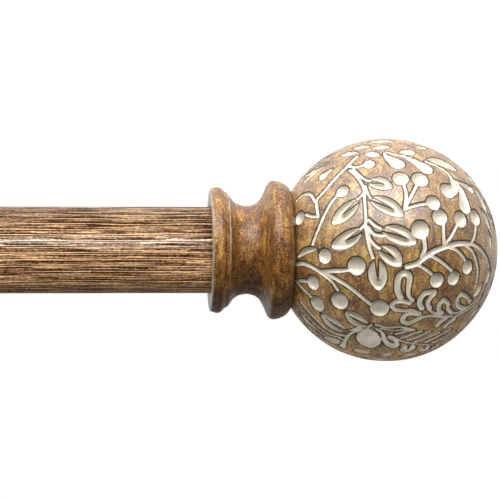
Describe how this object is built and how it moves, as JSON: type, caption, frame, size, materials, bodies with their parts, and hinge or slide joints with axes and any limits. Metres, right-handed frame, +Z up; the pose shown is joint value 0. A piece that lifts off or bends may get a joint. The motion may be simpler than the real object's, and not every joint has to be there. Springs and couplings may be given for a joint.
{
  "type": "curtain rod with brackets",
  "caption": "Telescoping wood-look curtain rod with carved leaf-and-berry ball finials, turned necks and adjustable wall brackets.",
  "frame": {"origin": "centre of the right wall plate's back face, on the wall", "axes": "+X to the right along the rod, +Y into the wall so that the room is towards -Y, +Z up; the rod's axis is at y = -0.0889, z = 0"},
  "size_m": [0.9836, 0.156, 0.0662],
  "materials": {
    "faux_wood": "satin wood-grain coating on steel tube, brown with cream and dark streaks",
    "carved_resin": "cast polyresin, golden-brown with whitewash rubbed into the relief, satin",
    "bronze_paint": "dark antique-bronze paint, satin",
    "zinc_steel": "zinc-plated screw thread",
    "nylon": "natural nylon, matte",
    "dark_plastic": "dark brown moulded plastic, matte"
  },
  "bodies": {
    "right_bracket": {"right_wall_plate": "bronze_paint", "right_arm_sleeve": "bronze_paint", "right_wall_screw_upper": "bronze_paint", "right_wall_screw_lower": "bronze_paint"},
    "right_arm": {"right_sliding_arm": "bronze_paint", "right_cradle": "bronze_paint"},
    "rod": {"outer_tube": "faux_wood", "tube_bushing": "dark_plastic", "right_end_plug": "dark_plastic"},
    "rod_extension": {"inner_tube": "faux_wood", "inner_glide": "nylon", "left_end_plug": "dark_plastic"},
    "left_bracket": {"left_wall_plate": "bronze_paint", "left_arm_sleeve": "bronze_paint", "left_wall_screw_upper": "bronze_paint", "left_wall_screw_lower": "bronze_paint"},
    "left_arm": {"left_sliding_arm": "bronze_paint", "left_cradle": "bronze_paint", "left_cradle_liner": "nylon"},
    "right_washer": {"right_finial_washer": "nylon"},
    "right_finial": {"right_finial_neck": "carved_resin", "right_finial_ball": "carved_resin", "right_finial_stud": "zinc_steel"},
    "right_pad": {"right_clamp_pad": "nylon"},
    "right_clamp": {"right_clamp_screw": "bronze_paint"},
    "right_tip": {"right_lock_pad": "nylon"},
    "right_lock": {"right_lock_screw": "bronze_paint"},
    "left_washer": {"left_finial_washer": "nylon"},
    "left_finial": {"left_finial_neck": "carved_resin", "left_finial_ball": "carved_resin", "left_finial_stud": "zinc_steel"},
    "left_pad": {"left_clamp_pad": "nylon"},
    "left_clamp": {"left_clamp_screw": "bronze_paint"},
    "left_tip": {"left_lock_pad": "nylon"},
    "left_lock": {"left_lock_screw": "bronze_paint"}
  },
  "joints": [
    {"name": "right_projection", "type": "slide", "parent": "right_bracket", "child": "right_arm", "axis": [0, -1, 0], "range_m": [0, 0.0254]},
    {"name": "rod_lift", "type": "slide", "parent": "right_arm", "child": "rod", "axis": [0, 0, 1], "range_m": [0, 0.05]},
    {"name": "extension", "type": "slide", "parent": "rod", "child": "rod_extension", "axis": [-1, 0, 0], "range_m": [-0.0508, 0.4064]},
    {"name": "left_bracket_place", "type": "slide", "parent": "right_bracket", "child": "left_bracket", "axis": [-1, 0, 0], "range_m": [-0.0508, 0.4064]},
    {"name": "left_projection", "type": "slide", "parent": "left_bracket", "child": "left_arm", "axis": [0, -1, 0], "range_m": [0, 0.0254]},
    {"name": "right_finial_advance", "type": "slide", "parent": "rod", "child": "right_washer", "axis": [1, 0, 0], "range_m": [0, 0.0127]},
    {"name": "right_finial_turn", "type": "hinge", "parent": "right_washer", "child": "right_finial", "pos_m": [0.11, -0.0889, 0], "axis": [1, 0, 0], "range_deg": [0, 3600]},
    {"name": "right_clamp_advance", "type": "slide", "parent": "right_arm", "child": "right_pad", "axis": [0, -1, 0], "range_m": [0, 0.0048]},
    {"name": "right_clamp_turn", "type": "hinge", "parent": "right_pad", "child": "right_clamp", "pos_m": [0, -0.0889, 0], "axis": [0, -1, 0], "range_deg": [0, 2160]},
    {"name": "right_lock_advance", "type": "slide", "parent": "right_bracket", "child": "right_tip", "axis": [0, 0, -1], "range_m": [0, 0.0021]},
    {"name": "right_lock_turn", "type": "hinge", "parent": "right_tip", "child": "right_lock", "pos_m": [0, -0.043, 0], "axis": [0, 0, -1], "range_deg": [0, 1080]},
    {"name": "left_finial_advance", "type": "slide", "parent": "rod_extension", "child": "left_washer", "axis": [-1, 0, 0], "range_m": [0, 0.0127]},
    {"name": "left_finial_turn", "type": "hinge", "parent": "left_washer", "child": "left_finial", "pos_m": [-0.7028, -0.0889, 0], "axis": [-1, 0, 0], "range_deg": [0, 3600]},
    {"name": "left_clamp_advance", "type": "slide", "parent": "left_arm", "child": "left_pad", "axis": [0, -1, 0], "range_m": [0, 0.0048]},
    {"name": "left_clamp_turn", "type": "hinge", "parent": "left_pad", "child": "left_clamp", "pos_m": [-0.5928, -0.0889, 0], "axis": [0, -1, 0], "range_deg": [0, 2160]},
    {"name": "left_lock_advance", "type": "slide", "parent": "left_bracket", "child": "left_tip", "axis": [0, 0, -1], "range_m": [0, 0.0021]},
    {"name": "left_lock_turn", "type": "hinge", "parent": "left_tip", "child": "left_lock", "pos_m": [-0.5928, -0.043, 0], "axis": [0, 0, -1], "range_deg": [0, 1080]}
  ],
  "couplings": [
    {"joint": "left_projection", "follows": "right_projection", "ratio": 1},
    {"joint": "left_bracket_place", "follows": "extension", "ratio": 1},
    {"joint": "right_finial_advance", "follows": "right_finial_turn", "m_per_rad": 0.0002021},
    {"joint": "right_clamp_turn", "follows": "right_clamp_advance", "rad_per_m": 7853.9},
    {"joint": "right_lock_turn", "follows": "right_lock_advance", "rad_per_m": 8975.9},
    {"joint": "left_finial_advance", "follows": "left_finial_turn", "m_per_rad": 0.0002021},
    {"joint": "left_clamp_turn", "follows": "left_clamp_advance", "rad_per_m": 7853.9},
    {"joint": "left_lock_turn", "follows": "left_lock_advance", "rad_per_m": 8975.9}
  ]
}
